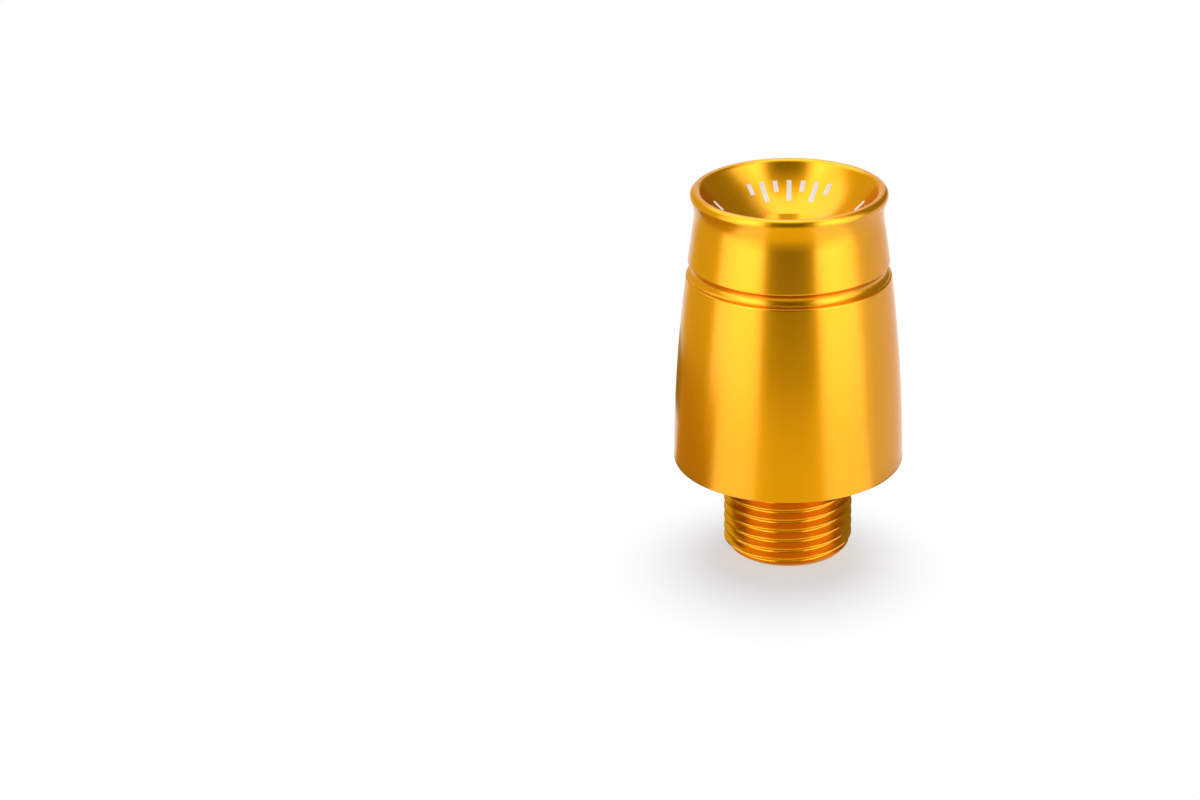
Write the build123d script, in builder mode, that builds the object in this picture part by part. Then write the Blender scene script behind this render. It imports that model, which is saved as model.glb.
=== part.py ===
from build123d import *
import math
import os

# A handlebar end weight, turned from one bar of aluminium and anodised.
# It stands on the end of its threaded stud, with the dished head up.
# The origin is the centre of the stud's end face, and Z is the axis of the bar.

# Stud, which screws into the handlebar: an M18 thread, here at its outside diameter
thread_diameter = 18.0
stud_length = 13.35
stud_end_diameter = 16.2
stud_chamfer_length = 1.1

# Relief where the thread runs out, under the face that meets the handlebar
relief_diameter = 15.7
relief_width = 2.0
relief_flank_angle = 45.0
relief_corner_radius = 0.8

# Body, from the face that meets the handlebar up to the groove
body_diameter = 31.9
body_length = 27.4
side_radius = 235.0

# Groove that parts the body from the head
groove_width = 1.85
groove_depth = 0.85

# Head, from the groove to the top of the lip
head_length = 10.25
neck_diameter = 25.86
neck_below_rim = 4.5
lip_diameter = 26.8
lip_radius = 0.8
flare_angle = 24.5

# Dish in the head, which runs down to the countersink round the socket
dish_wall_angle = 57.0
dish_depth = 5.7
countersink_diameter = 11.6
countersink_angle = 90.0

# Socket for a hexagon key, broached in a drilled hole
socket_across_flats = 8.0
socket_depth = 6.5
drill_clearance = 0.1
drill_point_angle = 118.0

# Edges
edge_break = 0.3
dish_edge_radius = 0.25

# Heights up the axis
relief_bottom_height = stud_length - relief_width
relief_depth = (thread_diameter - relief_diameter) / 2
thread_top_height = relief_bottom_height - relief_depth / math.tan(math.radians(relief_flank_angle))
shoulder_height = stud_length + body_length
head_bottom_height = shoulder_height + groove_width
rim_height = head_bottom_height + head_length
neck_height = rim_height - neck_below_rim
lip_height = rim_height - lip_radius
dish_bottom_height = rim_height - dish_depth
socket_floor_height = dish_bottom_height - socket_depth

# Radii
lip_ring_radius = lip_diameter / 2 - lip_radius
countersink_radius = countersink_diameter / 2
drill_radius = socket_across_flats / 2 - drill_clearance
countersink_slope = math.tan(math.radians(countersink_angle / 2))
drill_slope = math.tan(math.radians(drill_point_angle / 2))

# Where the countersink ends, and the point that the drill left
drill_top_height = dish_bottom_height - (countersink_radius - drill_radius) / countersink_slope
drill_point_height = socket_floor_height - drill_radius / drill_slope

with BuildPart() as bar_end_weight:
    with BuildSketch(Plane.XZ) as section:
        with BuildLine():
            stud = Polyline(
                (0, drill_point_height),
                (0, 0),
                (stud_end_diameter / 2, 0),
                (thread_diameter / 2, stud_chamfer_length),
                (thread_diameter / 2, thread_top_height),
                (relief_diameter / 2, relief_bottom_height),
                (relief_diameter / 2, stud_length),
                (body_diameter / 2, stud_length),
            )
            # One long arc runs up the body and the head
            side = RadiusArc((neck_diameter / 2, neck_height), stud @ 1, side_radius)
            # The lip is round in section, and a cove leads up to it
            lip = CenterArc(
                (lip_ring_radius, lip_height), lip_radius, -flare_angle, flare_angle + 90 + dish_wall_angle
            )
            Spline(side @ 0, lip @ 0, tangents=(-(side % 0), lip % 0))
            dish = TangentArc(lip @ 1, (countersink_radius, dish_bottom_height), tangent=lip % 1)
            Polyline(
                dish @ 1,
                (drill_radius, drill_top_height),
                (drill_radius, socket_floor_height),
                (0, drill_point_height),
            )
        make_face()
        fillet(section.vertices().sort_by_distance((relief_diameter / 2, stud_length))[0], relief_corner_radius)
        fillet(section.vertices().sort_by_distance(stud @ 1)[0], edge_break)
        fillet(section.vertices().sort_by_distance(dish @ 1)[0], dish_edge_radius)
        # The groove is an arc in section, cut to its depth below the side
        groove_height = shoulder_height + groove_width / 2
        groove_radius = (groove_width**2 / 4 + groove_depth**2) / (2 * groove_depth)
        side_rise = groove_height - side.arc_center.Y
        side_at_groove = side.arc_center.X + math.sqrt(side_radius**2 - side_rise**2)
        with Locations((side_at_groove + groove_radius - groove_depth, groove_height)):
            Circle(groove_radius, mode=Mode.SUBTRACT)
        fillet(section.vertices(Select.LAST), edge_break)
    revolve(axis=Axis.Z)
    with BuildSketch(Plane.XY.offset(socket_floor_height)):
        RegularPolygon(socket_across_flats / 2, side_count=6, major_radius=False)
    extrude(amount=socket_depth, mode=Mode.SUBTRACT)

bar_end_weight.part.label = "bar_end_weight"
os.makedirs("parts", exist_ok=True)
export_step(bar_end_weight.part, "parts/bar_end_weight.step")
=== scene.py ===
import math

import bmesh
import bpy
from mathutils import Matrix, Quaternion, Vector
from mathutils.geometry import interpolate_bezier


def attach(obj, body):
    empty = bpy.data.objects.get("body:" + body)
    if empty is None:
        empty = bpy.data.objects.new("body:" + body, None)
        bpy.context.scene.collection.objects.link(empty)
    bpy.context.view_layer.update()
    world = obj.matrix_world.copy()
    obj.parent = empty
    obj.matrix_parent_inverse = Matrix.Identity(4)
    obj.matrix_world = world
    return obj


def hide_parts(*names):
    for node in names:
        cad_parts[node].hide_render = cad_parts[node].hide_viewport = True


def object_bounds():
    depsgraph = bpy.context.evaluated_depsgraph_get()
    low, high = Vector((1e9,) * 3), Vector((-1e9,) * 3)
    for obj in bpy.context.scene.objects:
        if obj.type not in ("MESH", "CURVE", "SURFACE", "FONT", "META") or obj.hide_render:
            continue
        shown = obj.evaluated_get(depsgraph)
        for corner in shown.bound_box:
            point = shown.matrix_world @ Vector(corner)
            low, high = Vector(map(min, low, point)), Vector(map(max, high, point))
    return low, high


# A handlebar end weight, turned from one bar of aluminium and anodised gold.
# It stands on the end of its threaded stud, with the dished head up.
# Sizes are in millimetres up to the point where a finished mesh is scaled.

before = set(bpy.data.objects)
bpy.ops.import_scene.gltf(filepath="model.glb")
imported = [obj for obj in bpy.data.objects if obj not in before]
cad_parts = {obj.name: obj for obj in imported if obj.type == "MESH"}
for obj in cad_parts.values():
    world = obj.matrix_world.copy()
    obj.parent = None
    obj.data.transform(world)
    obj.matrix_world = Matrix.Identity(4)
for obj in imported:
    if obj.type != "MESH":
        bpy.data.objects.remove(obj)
cad_low, cad_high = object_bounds()

MM = 0.001

# Faces round the axis, and the angle past which an edge is drawn sharp
COLUMNS = 240
SHARP_ANGLE = math.radians(38)

# Stud, with the M18 thread
THREAD_RADIUS = 9.0
THREAD_PITCH = 1.5
THREAD_DEPTH = 0.92
CREST_FLAT = THREAD_PITCH / 8
CREST_EDGE = 0.03
ROOT_RADIUS = 0.2165
FLANK_ANGLE = math.radians(30)
STUD_LENGTH = 13.35
STUD_END_RADIUS = 8.1
STUD_CHAMFER_LENGTH = 1.1
RELIEF_RADIUS = 7.85
RELIEF_WIDTH = 2.0
RELIEF_FLANK_SLOPE = 1.0
RELIEF_CORNER_RADIUS = 0.8
# Height of the band of faces that joins the thread to the relief
JOIN_HEIGHT = 0.1

# Body and groove
BODY_RADIUS = 15.95
BODY_LENGTH = 27.4
SIDE_RADIUS = 235.0
GROOVE_WIDTH = 1.85
GROOVE_DEPTH = 0.85
EDGE_BREAK = 0.3

# Head, measured down from the rim
RIM_HEIGHT = cad_high.z / MM
NECK_RADIUS = 12.93
NECK_BELOW_RIM = 4.5
LIP_OUTER_RADIUS = 13.4
LIP_RADIUS = 0.8
FLARE_ANGLE = math.radians(24.5)
DISH_WALL_ANGLE = math.radians(57)
DISH_DEPTH = 5.7
DISH_EDGE_RADIUS = 0.25
COUNTERSINK_RADIUS = 5.8

# Socket for a hexagon key
SOCKET_APOTHEM = 4.0
SOCKET_DEPTH = 6.5
SOCKET_EDGE_BREAK = 0.07
# Radius of the last plain ring, which clears the hexagon's corners
SOCKET_RIM_CLEARANCE = 0.35
SOCKET_RIM_RADIUS = SOCKET_APOTHEM / math.cos(math.pi / 6) + SOCKET_RIM_CLEARANCE
DRILL_RADIUS = 3.9
DRILL_POINT_ANGLE = math.radians(118)
DRILL_TIP_RADIUS = 0.12

# Printed marks in the dish, long and short by turns
MARK_OUTER_RADIUS = 10.3
MARK_LENGTHS = (2.5, 1.3)
MARK_WIDTH = 0.66
MARK_HEIGHT = 0.02
MARK_STEP = 11
# Each row of marks: the direction of its middle and the marks to each side of that
MARK_ROWS = ((90, 3), (-90, 9))

# Heights up the axis
RELIEF_BOTTOM = STUD_LENGTH - RELIEF_WIDTH
SHOULDER_HEIGHT = STUD_LENGTH + BODY_LENGTH
GROOVE_HEIGHT = SHOULDER_HEIGHT + GROOVE_WIDTH / 2
NECK_HEIGHT = RIM_HEIGHT - NECK_BELOW_RIM
DISH_BOTTOM = RIM_HEIGHT - DISH_DEPTH
SOCKET_FLOOR = DISH_BOTTOM - SOCKET_DEPTH
DRILL_POINT_HEIGHT = SOCKET_FLOOR - DRILL_RADIUS / math.tan(DRILL_POINT_ANGLE / 2)

# Finishes, as colours in linear light
GOLD_DEEP = (0.67, 0.285, 0.002)
GOLD_LIGHT = (0.71, 0.305, 0.003)
GOLD_ROUGHNESS = 0.29
# Tint of the metal where it is seen at a low angle
GOLD_EDGE = (0.95, 0.62, 0.2)
PRINT_WHITE = (0.8, 0.78, 0.77)
# The floor's cool tint is a painted correction for light: it cancels the warm light that the gold throws
# onto the floor, so that the shadow looks grey
FLOOR_COLOUR = (0.77, 0.825, 0.865)

# How fine the finishes' patterns are, in cells to the metre
RING_SCALE = 7000
GRAIN_SCALE = 9000
CLOUD_SCALE = 160
SPECKLE_SCALE = 6000

# Light, where 1 shows a white surface as white
FLOOR_GLOW = 0.5
SKY_LIGHT = 0.55
OVERHEAD_LIGHT = 1.6
OVERHEAD_PLACE = (0, 0.12, 0.5)
OVERHEAD_SIZE = (0.5, 0.4)
# Where the floor shows the shadow, and the distances from there between which it turns white
SHADOW_MIDDLE = (-0.0012, -0.0082, 0)
SHADOW_FADE = (0.007, 0.026)

# Distances in metres from the axis to the cards that the metal shows
CARD_DISTANCE = 0.62
FLAG_DISTANCE = 0.6
# The same for the bounds of the cards on the floor, and their height above it
STUD_FOOT = 0.0085
BODY_FOOT = 0.036
LEFT_MIDDLE = 0.1
SIDE_MIDDLE = 0.11
FRONT_MIDDLE = 0.12
FLOOR_REACH = 0.6
CARD_LIFT = 0.0003

# Tints of the cards: the dim cards are warm, painted gold light that the weight throws back into them,
# and the floor cards at the weight's left paint a dim reflection of gold
PLAIN = (1, 1, 1, 1)
WARM = (1, 0.94, 0.12, 1)
PAINTED_GOLD_REFLECTION = (1, 0.68, 0.06, 1)


def point(radius, height):
    """A point of the section, whose radius lies along X."""
    return Vector((radius, 0, height))


def shares(steps, support):
    """Shares of the way along a stretch, with a supporting row near each end if support is given."""
    inner = [i / steps for i in range(1, steps)]
    return [0, support] + inner + [1 - support, 1] if support else [0] + inner + [1]


def line(start, end, steps=1, support=0):
    return [start.lerp(end, share) for share in shares(steps, support)]


def arc(centre, start, end, steps, support=0):
    """Points on the shorter arc round centre, from start to end."""
    radius = (start - centre).length
    first = math.atan2(start.z - centre.z, start.x - centre.x)
    turn = math.remainder(math.atan2(end.z - centre.z, end.x - centre.x) - first, math.tau)
    angles = [first + turn * share for share in shares(steps, support)]
    return [centre + radius * point(math.cos(angle), math.sin(angle)) for angle in angles]


def arc_centre(start, end, radius):
    """The centre, on the axis side, of an arc between two points of the section."""
    half = (end - start) / 2
    inwards = point(-half.z, half.x).normalized()
    return start + half + inwards * math.sqrt(radius**2 - half.length_squared)


def tangent_arc_centre(start, direction, end):
    """The centre of the arc that leaves start in a direction and reaches end."""
    normal = point(direction.z, -direction.x)
    chord = end - start
    return start + normal * chord.length_squared / (2 * chord.dot(normal))


def circles_meet(first, first_radius, second, second_radius, side):
    """The point where two circles of the section meet, above the line between them for a side of 1."""
    between = second - first
    distance = between.length
    along = (distance**2 + first_radius**2 - second_radius**2) / (2 * distance)
    across = math.sqrt(first_radius**2 - along**2)
    unit = between / distance
    return first + unit * along + point(-unit.z, unit.x) * across * side


def on_circle(centre, radius, towards):
    return centre + (towards - centre).normalized() * radius


def lip_arc():
    """The centre of the round lip, and the point where the lip turns into the dish."""
    centre = point(LIP_OUTER_RADIUS - LIP_RADIUS, RIM_HEIGHT - LIP_RADIUS)
    inner_angle = math.pi / 2 + DISH_WALL_ANGLE
    return centre, centre + LIP_RADIUS * point(math.cos(inner_angle), math.sin(inner_angle))


def dish_arc():
    """The centre of the dish's arc, and the arc's lower end at the countersink."""
    _, lip_end = lip_arc()
    end = point(COUNTERSINK_RADIUS, DISH_BOTTOM)
    fall = point(-math.cos(DISH_WALL_ANGLE), -math.sin(DISH_WALL_ANGLE))
    return tangent_arc_centre(lip_end, fall, end), end


def weight_section():
    """Half the weight's section, from the relief above the thread to just outside the hexagon."""
    relief_corner = point(RELIEF_RADIUS + RELIEF_CORNER_RADIUS, STUD_LENGTH - RELIEF_CORNER_RADIUS)
    neck = point(NECK_RADIUS, NECK_HEIGHT)
    side_centre = arc_centre(point(BODY_RADIUS, STUD_LENGTH), neck, SIDE_RADIUS)

    # The break of the body's lower edge
    lower_rise = STUD_LENGTH + EDGE_BREAK - side_centre.z
    lower_reach = math.sqrt((SIDE_RADIUS - EDGE_BREAK) ** 2 - lower_rise**2)
    lower_edge = point(side_centre.x + lower_reach, STUD_LENGTH + EDGE_BREAK)
    lower_face_end = point(lower_edge.x, STUD_LENGTH)
    side_start = on_circle(side_centre, SIDE_RADIUS, lower_edge)

    # The groove and the breaks of its two edges
    groove_radius = (GROOVE_WIDTH**2 / 4 + GROOVE_DEPTH**2) / (2 * GROOVE_DEPTH)
    side_at_groove = side_centre.x + math.sqrt(SIDE_RADIUS**2 - (GROOVE_HEIGHT - side_centre.z) ** 2)
    groove = point(side_at_groove + groove_radius - GROOVE_DEPTH, GROOVE_HEIGHT)
    below, above = (
        circles_meet(side_centre, SIDE_RADIUS - EDGE_BREAK, groove, groove_radius + EDGE_BREAK, side)
        for side in (-1, 1)
    )
    below_on_side = on_circle(side_centre, SIDE_RADIUS, below)
    below_in_groove = on_circle(groove, groove_radius, below)
    above_in_groove = on_circle(groove, groove_radius, above)
    above_on_side = on_circle(side_centre, SIDE_RADIUS, above)

    # The lip, and the cove that leads up to it
    lip_centre, lip_end = lip_arc()
    lip_start = lip_centre + LIP_RADIUS * point(math.cos(FLARE_ANGLE), -math.sin(FLARE_ANGLE))
    side_rise = neck - side_centre
    cove_reach = (lip_start - neck).length / 3
    cove = interpolate_bezier(
        neck,
        neck + cove_reach * point(-side_rise.z, side_rise.x).normalized(),
        lip_start - cove_reach * point(math.sin(FLARE_ANGLE), math.cos(FLARE_ANGLE)),
        lip_start,
        18,
    )

    # The dish, and the countersink below it
    dish_centre, dish_end = dish_arc()
    slope = point(-1, -1).normalized()
    dish_run = dish_end - dish_centre
    dish_last = point(dish_run.z, -dish_run.x).normalized()
    turn = dish_last.angle(slope)
    reach = DISH_EDGE_RADIUS * math.tan(turn / 2)
    edge_start = dish_end - dish_last * reach
    edge_end = dish_end + slope * reach
    edge_middle = (edge_start + edge_end) / 2
    edge_inset = DISH_EDGE_RADIUS * math.cos(turn / 2)
    edge_centre = edge_middle + (edge_middle - dish_end).normalized() * edge_inset
    slope_end = point(SOCKET_RIM_RADIUS, DISH_BOTTOM - COUNTERSINK_RADIUS + SOCKET_RIM_RADIUS)

    relief_foot = point(RELIEF_RADIUS, RELIEF_BOTTOM + JOIN_HEIGHT)
    relief_top = point(RELIEF_RADIUS, relief_corner.z)
    stretches = [
        line(relief_foot, relief_top, support=0.08),
        arc(relief_corner, relief_top, point(relief_corner.x, STUD_LENGTH), 6),
        line(point(relief_corner.x, STUD_LENGTH), lower_face_end, 3, support=0.01),
        arc(lower_edge, lower_face_end, side_start, 6),
        arc(side_centre, side_start, below_on_side, 22, support=0.003),
        arc(below, below_on_side, below_in_groove, 6),
        arc(groove, below_in_groove, above_in_groove, 14, support=0.02),
        arc(above, above_in_groove, above_on_side, 6),
        arc(side_centre, above_on_side, neck, 6, support=0.01),
        cove,
        arc(lip_centre, lip_start, lip_end, 24),
        arc(dish_centre, lip_end, edge_start, 28, support=0.006),
        arc(edge_centre, edge_start, edge_end, 3),
        line(edge_end, slope_end, support=0.06),
    ]
    section = [stretches[0][0]]
    for stretch in stretches:
        section += stretch[1:]
    return section


def add_section(mesh, points):
    """Adds a row of points to a mesh as one open wire."""
    verts = [mesh.verts.new(p) for p in points]
    edges = [mesh.edges.new(pair) for pair in zip(verts, verts[1:])]
    return verts + edges


def ring_at(mesh, height):
    """The open edges that lie at a height."""
    return [e for e in mesh.edges if e.is_boundary and all(abs(v.co.z - height) < 1e-4 for v in e.verts)]


def extrude_ring(mesh, ring, place):
    """Extrudes a ring of edges, and puts each new corner where place says."""
    made = bmesh.ops.extrude_edge_only(mesh, edges=ring)["geom"]
    for vert in made:
        if isinstance(vert, bmesh.types.BMVert):
            vert.co = place(vert.co)
    return [e for e in made if isinstance(e, bmesh.types.BMEdge) and e.is_boundary]


def hexagon_radius(angle):
    """Distance from the axis to the side of the socket, which has corners on the X axis."""
    from_flat = math.remainder(angle - math.pi / 6, math.pi / 3)
    return SOCKET_APOTHEM / math.cos(from_flat)


def at_radius(co, radius, height):
    flat = co.xy.normalized() * radius
    return Vector((flat.x, flat.y, height))


def cut_socket(mesh):
    """Cuts the hexagon down from the countersink, and adds the floor that the drill left."""
    def mouth(co):
        radius = hexagon_radius(math.atan2(co.y, co.x))
        return at_radius(co, radius, DISH_BOTTOM - COUNTERSINK_RADIUS + radius)

    slope_end = DISH_BOTTOM - COUNTERSINK_RADIUS + SOCKET_RIM_RADIUS
    mouth_ring = extrude_ring(mesh, ring_at(mesh, slope_end), mouth)
    mouth_verts = {v for e in mouth_ring for v in e.verts}
    floor_ring = extrude_ring(mesh, mouth_ring, lambda co: Vector((co.x, co.y, SOCKET_FLOOR)))
    drill_ring = extrude_ring(mesh, floor_ring, lambda co: at_radius(co, DRILL_RADIUS, SOCKET_FLOOR))
    drill_slope = (SOCKET_FLOOR - DRILL_POINT_HEIGHT) / DRILL_RADIUS
    tip_height = DRILL_POINT_HEIGHT + DRILL_TIP_RADIUS * drill_slope
    tip_ring = extrude_ring(mesh, drill_ring, lambda co: at_radius(co, DRILL_TIP_RADIUS, tip_height))
    tip = extrude_ring(mesh, tip_ring, lambda co: Vector((0, 0, DRILL_POINT_HEIGHT)))
    bmesh.ops.remove_doubles(mesh, verts=list({v for e in tip for v in e.verts}), dist=0.001)
    mouth_edges = [e for e in mesh.edges if all(v in mouth_verts for v in e.verts)]
    bmesh.ops.bevel(
        mesh,
        geom=mouth_edges,
        offset=SOCKET_EDGE_BREAK,
        offset_type="OFFSET",
        segments=3,
        profile=0.5,
        affect="EDGES",
        clamp_overlap=False,
        material=-1,
    )


def thread_section():
    """One pitch of the thread's section, from a crest to the next."""
    half_flat = CREST_FLAT / 2
    root_centre = point(THREAD_RADIUS - THREAD_DEPTH + ROOT_RADIUS, THREAD_PITCH / 2)
    corner = point(THREAD_RADIUS, half_flat)
    flank = point(-math.cos(FLANK_ANGLE), math.sin(FLANK_ANGLE))
    edge_reach = CREST_EDGE * math.tan((math.pi / 2 - FLANK_ANGLE) / 2)
    edge_centre = point(THREAD_RADIUS - CREST_EDGE, half_flat - edge_reach)
    edge_start = point(THREAD_RADIUS, edge_centre.z)
    edge_end = corner + flank * edge_reach
    root_start = root_centre - ROOT_RADIUS * point(math.sin(FLANK_ANGLE), math.cos(FLANK_ANGLE))
    root_bottom = root_centre - point(ROOT_RADIUS, 0)
    falling = arc(edge_centre, edge_start, edge_end, 3)
    falling += line(edge_end, root_start, 2, support=0.05)[1:]
    falling += arc(root_centre, root_start, root_bottom, 3)[1:]
    rising = [point(p.x, THREAD_PITCH - p.z) for p in reversed(falling[:-1])]
    return falling + rising + [falling[0] + point(0, THREAD_PITCH)]


def trim_to_cone(mesh, radius, height, slope):
    """Turns the thread down to a cone with a radius at a height, which widens by slope upwards."""
    for vert in mesh.verts:
        vert.co.z -= vert.co.xy.length / slope
    bmesh.ops.bisect_plane(
        mesh,
        geom=mesh.verts[:] + mesh.edges[:] + mesh.faces[:],
        dist=1e-6,
        plane_co=(0, 0, height - radius / slope),
        plane_no=(0, 0, 1),
    )
    for vert in mesh.verts:
        vert.co.z += vert.co.xy.length / slope
        limit = max(radius + (vert.co.z - height) * slope, RELIEF_RADIUS - THREAD_DEPTH)
        if vert.co.xy.length > limit:
            vert.co = at_radius(vert.co, limit, vert.co.z)


def thread_mesh():
    """The stud's thread, right-handed, trimmed to the chamfer and to the relief, with the end face."""
    mesh = bmesh.new()
    # A crest faces the front at the level of the end face, a quarter turn behind X
    first = point(0, THREAD_PITCH * (1 / 4 - 2))
    bmesh.ops.spin(
        mesh,
        geom=add_section(mesh, [p + first for p in thread_section()]),
        cent=(0, 0, 0),
        axis=(0, 0, 1),
        dvec=(0, 0, THREAD_PITCH / COLUMNS),
        angle=math.tau,
        steps=COLUMNS,
        use_merge=False,
    )
    turn = mesh.verts[:] + mesh.edges[:] + mesh.faces[:]
    for _ in range(round(STUD_LENGTH / THREAD_PITCH) + 1):
        turn = bmesh.ops.duplicate(mesh, geom=turn)["geom"]
        turn_verts = [v for v in turn if isinstance(v, bmesh.types.BMVert)]
        bmesh.ops.translate(mesh, vec=(0, 0, THREAD_PITCH), verts=turn_verts)
    bmesh.ops.remove_doubles(mesh, verts=mesh.verts, dist=0.0005)
    trim_to_cone(mesh, STUD_END_RADIUS, 0, (THREAD_RADIUS - STUD_END_RADIUS) / STUD_CHAMFER_LENGTH)
    trim_to_cone(mesh, RELIEF_RADIUS, RELIEF_BOTTOM, -RELIEF_FLANK_SLOPE)
    for height, clear in ((0, "clear_inner"), (RELIEF_BOTTOM, "clear_outer")):
        bmesh.ops.bisect_plane(
            mesh,
            geom=mesh.verts[:] + mesh.edges[:] + mesh.faces[:],
            dist=1e-5,
            plane_co=(0, 0, height),
            plane_no=(0, 0, 1),
            **{clear: True},
        )
    bmesh.ops.edgeloop_fill(mesh, edges=ring_at(mesh, 0))
    return mesh


def finished(mesh, name, material):
    """Scales a mesh to metres and makes it a piece of the weight."""
    bmesh.ops.recalc_face_normals(mesh, faces=mesh.faces)
    bmesh.ops.scale(mesh, vec=(MM, MM, MM), verts=mesh.verts)
    data = bpy.data.meshes.new(name)
    mesh.to_mesh(data)
    mesh.free()
    data.shade_smooth()
    data.set_sharp_from_angle(angle=SHARP_ANGLE)
    data.materials.append(material)
    piece = bpy.data.objects.new(name, data)
    bpy.context.scene.collection.objects.link(piece)
    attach(piece, "root")
    return piece


def turned_weight(material):
    mesh = bmesh.new()
    bmesh.ops.spin(
        mesh,
        geom=add_section(mesh, weight_section()),
        cent=(0, 0, 0),
        axis=(0, 0, 1),
        dvec=(0, 0, 0),
        angle=math.tau,
        steps=COLUMNS,
        use_merge=True,
    )
    cut_socket(mesh)
    thread = thread_mesh()
    thread_data = bpy.data.meshes.new("thread")
    thread.to_mesh(thread_data)
    thread.free()
    mesh.from_mesh(thread_data)
    bpy.data.meshes.remove(thread_data)
    joined = ring_at(mesh, RELIEF_BOTTOM) + ring_at(mesh, RELIEF_BOTTOM + JOIN_HEIGHT)
    bmesh.ops.bridge_loops(mesh, edges=joined)
    piece = finished(mesh, "turned_weight", material)
    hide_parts("bar_end_weight")
    return piece


def dish_height(radius):
    """Height of the dish's surface at a distance from the axis."""
    centre, end = dish_arc()
    return centre.z - math.sqrt((end - centre).length_squared - (radius - centre.x) ** 2)


def dish_marks(material):
    """White marks like those of a dial, in the two stretches of the dish that carry print."""
    mesh = bmesh.new()
    for middle, each_side in MARK_ROWS:
        for number in range(-each_side, each_side + 1):
            length = MARK_LENGTHS[number % len(MARK_LENGTHS)]
            angle = math.radians(middle + number * MARK_STEP)
            mark = bmesh.ops.create_grid(mesh, x_segments=12, y_segments=2, size=0.5)["verts"]
            for vert in mark:
                radius = MARK_OUTER_RADIUS + (vert.co.x - 0.5) * length
                across = vert.co.y * MARK_WIDTH
                height = dish_height(math.hypot(radius, across)) + MARK_HEIGHT
                vert.co = Vector((radius, across, height))
            faces = list({f for v in mark for f in v.link_faces})
            made = bmesh.ops.extrude_face_region(mesh, geom=faces)["geom"]
            lower = [v for v in made if isinstance(v, bmesh.types.BMVert)]
            bmesh.ops.translate(mesh, vec=(0, 0, -2 * MARK_HEIGHT), verts=lower)
            bmesh.ops.rotate(mesh, matrix=Matrix.Rotation(angle, 3, "Z"), verts=mark + lower)
    return finished(mesh, "dish_marks", material)


class Wire:
    """An output of a node, which takes part in sums as a number does."""

    def __init__(self, nodes, socket):
        self.nodes = nodes
        self.socket = socket

    def __getitem__(self, name):
        return Wire(self.nodes, self.socket.node.outputs[name])

    def __add__(self, other):
        return self.nodes.maths("ADD", self, other)

    def __sub__(self, other):
        return self.nodes.maths("SUBTRACT", self, other)

    def __rsub__(self, other):
        return self.nodes.maths("SUBTRACT", other, self)

    def __mul__(self, other):
        return self.nodes.maths("MULTIPLY", self, other)

    __radd__ = __add__
    __rmul__ = __mul__


class Nodes:
    """The nodes of a material or of the world, empty at first."""

    def __init__(self, owner):
        owner.use_nodes = True
        self.tree = owner.node_tree
        self.tree.nodes.clear()

    def node(self, kind, settings=None, values=None):
        """Makes a node with its settings, then sets or links its sockets, and gives its first output."""
        made = self.tree.nodes.new("ShaderNode" + kind)
        for name, value in (settings or {}).items():
            setattr(made, name, value)
        for name, value in (values or {}).items():
            if isinstance(value, Wire):
                self.tree.links.new(value.socket, made.inputs[name])
            else:
                made.inputs[name].default_value = value
        return Wire(self, made.outputs[0]) if made.outputs else None

    def maths(self, operation, *terms):
        return self.node("Math", {"operation": operation}, dict(enumerate(terms)))

    def noise(self, place, scale, detail):
        return self.node("TexNoise", values={"Vector": place, "Scale": scale, "Detail": detail})["Fac"]


def gold_anodised():
    """Gold anodised aluminium, satin, with the fine rings that the tool left round the axis."""
    material = bpy.data.materials.new("gold_anodised")
    nodes = Nodes(material)
    place = nodes.node("TexCoord")["Object"]
    apart = nodes.node("SeparateXYZ", values={"Vector": place})
    x, y, z = apart["X"], apart["Y"], apart["Z"]
    radius = nodes.maths("SQRT", x * x + y * y)
    section = nodes.node("CombineXYZ", values={"X": radius, "Z": z})
    rings = nodes.noise(section, RING_SCALE, 2)
    grain = nodes.noise(place, GRAIN_SCALE, 2)
    clouds = nodes.noise(place, CLOUD_SCALE, 3)
    colour = nodes.node(
        "Mix",
        {"data_type": "RGBA"},
        {"Factor": clouds, 6: (*GOLD_DEEP, 1), 7: (*GOLD_LIGHT, 1)},
    )
    bump = nodes.node(
        "Bump",
        values={"Strength": 0.06, "Distance": 0.000008, "Height": rings * 0.7 + grain * 0.3},
    )
    # Each pattern has a mean of 0.5, and what they add on average is taken off again
    roughness = rings * 0.02 + clouds * 0.03 + (GOLD_ROUGHNESS - 0.025)
    shader = nodes.node(
        "BsdfPrincipled",
        values={
            "Base Color": colour[2],
            "Metallic": 1.0,
            "Roughness": roughness,
            "Specular Tint": (*GOLD_EDGE, 1),
            "Anisotropic": 0.35,
            "Anisotropic Rotation": 0.25,
            "Coat Weight": 1.0,
            "Coat Roughness": 0.18,
            "Coat IOR": 1.27,
            "Normal": bump,
        },
    )
    nodes.node("OutputMaterial", values={"Surface": shader})
    return material


def white_print():
    """Matt white ink, a little uneven."""
    material = bpy.data.materials.new("white_print")
    nodes = Nodes(material)
    place = nodes.node("TexCoord")["Object"]
    speckle = nodes.noise(place, SPECKLE_SCALE, 2)
    bump = nodes.node("Bump", values={"Strength": 0.1, "Distance": 0.00002, "Height": speckle})
    shader = nodes.node(
        "BsdfPrincipled",
        values={
            "Base Color": (*PRINT_WHITE, 1),
            "Roughness": speckle * 0.2 + 0.45,
            "Normal": bump,
        },
    )
    nodes.node("OutputMaterial", values={"Surface": shader})
    return material


def seen_directly(nodes):
    """1 for rays that show the background: the camera's, and those that metal or glass sends on."""
    path = nodes.node("LightPath")
    seen = nodes.maths("MAXIMUM", path["Is Camera Ray"], path["Is Glossy Ray"])
    return nodes.maths("MAXIMUM", seen, path["Is Transmission Ray"])


def stage_object(name, mesh, material):
    data = bpy.data.meshes.new(name)
    mesh.to_mesh(data)
    mesh.free()
    data.materials.append(material)
    thing = bpy.data.objects.new(name, data)
    bpy.context.scene.collection.objects.link(thing)
    return thing


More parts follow.
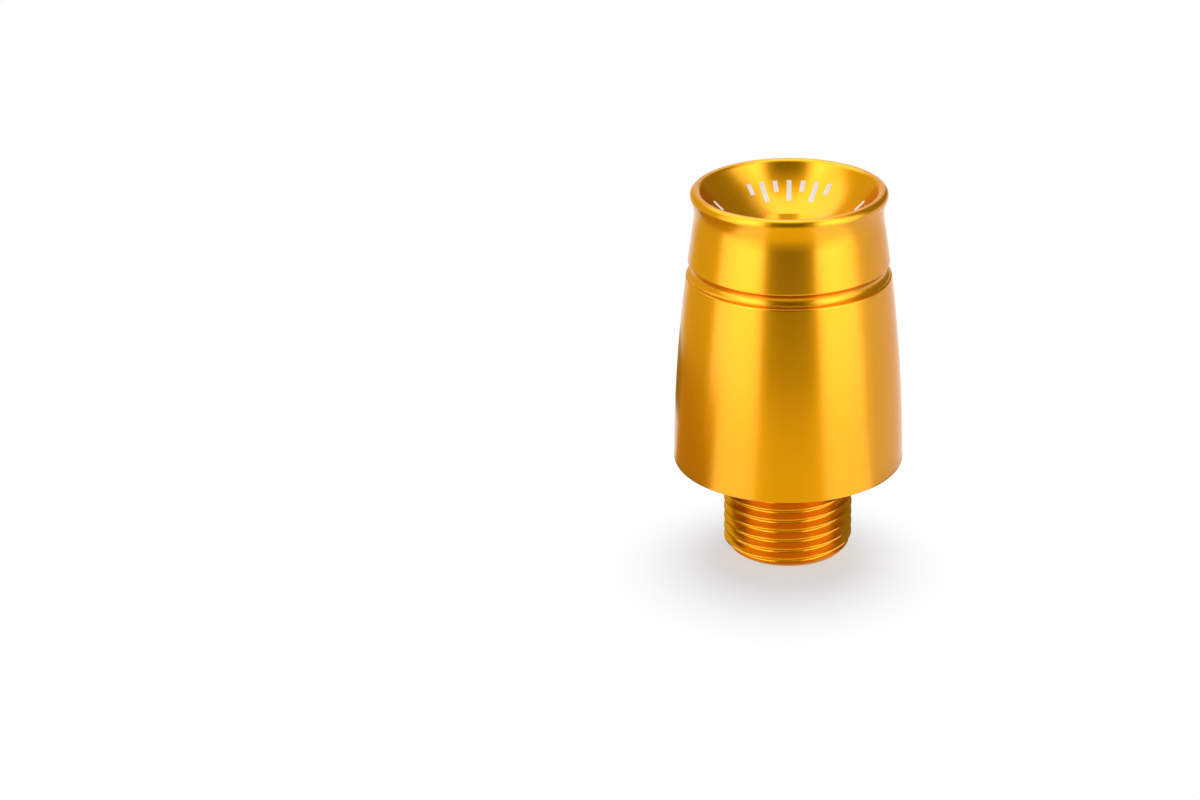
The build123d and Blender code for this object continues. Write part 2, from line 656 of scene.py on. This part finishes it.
def add_floor():
    """A pale floor that shows the weight's shadow and turns plain white further out."""
    material = bpy.data.materials.new("floor_white")
    nodes = Nodes(material)
    place = nodes.node("TexCoord")["Object"]
    distance = nodes.node("VectorMath", {"operation": "DISTANCE"}, {0: place, 1: SHADOW_MIDDLE})["Value"]
    far = nodes.node(
        "MapRange",
        {"interpolation_type": "SMOOTHSTEP"},
        {
            "Value": distance,
            "From Min": SHADOW_FADE[0],
            "From Max": SHADOW_FADE[1],
            "To Min": FLOOR_GLOW,
            "To Max": 1.0,
        },
    )
    lit = nodes.node("BsdfDiffuse", values={"Color": (*FLOOR_COLOUR, 1)})
    plain = nodes.node("Emission", values={"Strength": 1.0})
    # For the camera and reflections the floor glows white: painted light mixed in at half at the
    # shadow's middle, which lightens the real shadow, and fully further out
    surface = nodes.node("MixShader", values={0: seen_directly(nodes) * far, 1: lit, 2: plain})
    nodes.node("OutputMaterial", values={"Surface": surface})
    mesh = bmesh.new()
    bmesh.ops.create_grid(mesh, x_segments=1, y_segments=1, size=1.5)
    stage_object("floor", mesh, material)


def add_card(name, radiance, azimuths, section, tint=PLAIN):
    """A card that only reflections show. Azimuth 0 is the camera's side of the weight, 90 its right."""
    material = bpy.data.materials.new(name)
    nodes = Nodes(material)
    glow = nodes.node("Emission", values={"Color": tint, "Strength": radiance})
    nodes.node("OutputMaterial", values={"Surface": glow})
    mesh = bmesh.new()
    start = Matrix.Rotation(math.radians(azimuths[0] - 90), 3, "Z")
    geom = add_section(mesh, [start @ p for p in section])
    bmesh.ops.spin(
        mesh,
        geom=geom,
        cent=(0, 0, 0),
        axis=(0, 0, 1),
        dvec=(0, 0, 0),
        angle=math.radians(azimuths[1] - azimuths[0]),
        steps=24,
        use_merge=False,
    )
    card = stage_object(name, mesh, material)
    card.visible_camera = False
    card.visible_diffuse = False
    card.visible_shadow = False


def dome(low, high, distance=CARD_DISTANCE):
    """Section of a card that curves round the weight between two elevations."""
    rise = [math.radians(low + (high - low) * share) for share in shares(12, 0)]
    return [distance * point(math.cos(e), math.sin(e)) for e in rise]


def apron(inner, outer):
    """Section of a card that lies on the floor between two distances from the axis."""
    return [point(inner, CARD_LIFT), point(outer, CARD_LIFT)]


def add_reflections():
    """What the metal shows: glowing cards that paint its reflections, bright as softboxes to both sides
    and above, and dim as a darker room between them.
    """
    # The front cards are painted shade: dim warm cards that darken the middle of the reflections,
    # growing paler in steps up towards the top card
    add_card("front_flag", 0.15, (-28, 31), dome(0.3, 40), WARM)
    add_card("front_flag_upper", 0.12, (-31, 38), dome(38, 51, FLAG_DISTANCE), WARM)
    add_card("front_flag_top", 0.1, (-39, 47), dome(51, 62, FLAG_DISTANCE), WARM)
    add_card("front_fade_low", 0.45, (-44, 53), dome(62, 70, FLAG_DISTANCE), WARM)
    add_card("front_fade_middle", 0.9, (-52, 64), dome(70, 77, FLAG_DISTANCE), WARM)
    add_card("front_fade_high", 1.4, (-60, 80), dome(77, 84, FLAG_DISTANCE), WARM)
    add_card("left_softbox", 3.2, (-64, -28), dome(0.3, 66))
    add_card("left_softbox_edge", 2.0, (-82, -64), dome(0.3, 66))
    add_card("right_softbox", 3.2, (31, 66), dome(0.3, 66))
    add_card("right_softbox_edge", 2.1, (66, 87), dome(0.3, 66))
    add_card("left_room", 0.9, (-162, -82), dome(2, 42), WARM)
    add_card("left_room_top", 2.4, (-160, -82), dome(42, 66))
    add_card("right_room", 0.38, (95, 162), dome(3, 56), WARM)
    add_card("back_softbox", 2.4, (160, 200), dome(40, 66))
    add_card("top_softbox", 2.6, (0, 360), dome(66, 90))
    # Cards lying on the floor paint the floor's reflection as a dim image of the room, in which the
    # nearer part is paler, with a painted sheen to both sides
    add_card("front_floor_reflection", 0.5, (-28, 31), apron(FRONT_MIDDLE, FLOOR_REACH), WARM)
    add_card("left_near_sheen", 1.6, (-68, -28), apron(STUD_FOOT, SIDE_MIDDLE))
    add_card("left_far_sheen", 2.3, (-82, -28), apron(SIDE_MIDDLE, FLOOR_REACH))
    add_card("right_near_sheen", 1.65, (32, 77), apron(STUD_FOOT, SIDE_MIDDLE))
    add_card("right_far_sheen", 2.3, (32, 79), apron(SIDE_MIDDLE, FLOOR_REACH))
    # At the weight's left the floor cards paint a dim gold reflection, and left_shade paints a darker
    # gold shade low on that side
    add_card("left_near_floor_reflection", 0.6, (-132, -70), apron(BODY_FOOT, LEFT_MIDDLE), PAINTED_GOLD_REFLECTION)
    add_card("left_shade", 0.3, (-162, -132), apron(0.056, 0.09), PAINTED_GOLD_REFLECTION)
    add_card("left_far_floor_reflection", 0.9, (-140, -82), apron(LEFT_MIDDLE, FLOOR_REACH), WARM)
    # The contact cards paint the floor next to the stud in its reflections: paler in front, and painted
    # shade to the sides and behind
    add_card("front_contact_reflection", 1.1, (-28, 32), apron(STUD_FOOT, FRONT_MIDDLE), WARM)
    add_card("back_contact_shade", 0.2, (77, 288), apron(STUD_FOOT, BODY_FOOT), WARM)


def add_overhead():
    """A large soft light above and a little behind, so that the shadow falls to the camera's side."""
    data = bpy.data.lights.new("overhead", "AREA")
    data.shape = "RECTANGLE"
    data.size, data.size_y = OVERHEAD_SIZE
    data.energy = OVERHEAD_LIGHT
    light = bpy.data.objects.new("overhead", data)
    light.location = OVERHEAD_PLACE
    light.rotation_mode = "QUATERNION"
    light.rotation_quaternion = (-light.location).to_track_quat("-Z", "Y")
    light.visible_glossy = False
    bpy.context.scene.collection.objects.link(light)


def add_world():
    world = bpy.data.worlds.new("studio")
    bpy.context.scene.world = world
    nodes = Nodes(world)
    seen = seen_directly(nodes)
    background = nodes.node(
        "Background", values={"Color": (1, 1, 1, 1), "Strength": seen + (1 - seen) * SKY_LIGHT}
    )
    nodes.node("OutputWorld", values={"Surface": background})


def add_camera():
    """The camera as in the photograph: 85 mm on full frame, with the weight right of the middle."""
    target = Vector((0, 0, 0.027))
    distance = 0.39296
    elevation = math.radians(22.78)
    roll = math.radians(0.226)
    focal_pixels = 2833.0
    image_width = 1200.0
    aim_right = 188.25
    aim_up = 35.0
    data = bpy.data.cameras.new("camera")
    data.sensor_width = 36.0
    data.lens = focal_pixels * data.sensor_width / image_width
    data.clip_start = 0.01
    data.clip_end = 20
    camera = bpy.data.objects.new("camera", data)
    camera.location = target + distance * Vector((0, -math.cos(elevation), math.sin(elevation)))
    look = (target - camera.location).to_track_quat("-Z", "Y")
    turn = Quaternion((0, 0, 1), roll)
    offset = Vector((0, 0, -1)).rotation_difference(Vector((aim_right, aim_up, -focal_pixels)))
    camera.rotation_mode = "QUATERNION"
    camera.rotation_quaternion = look @ turn @ offset.inverted()
    bpy.context.scene.collection.objects.link(camera)
    bpy.context.scene.camera = camera


turned_weight(gold_anodised())
dish_marks(white_print())
add_camera()
add_floor()
add_world()
add_overhead()
add_reflections()
bpy.context.scene.view_settings.view_transform = "Standard"
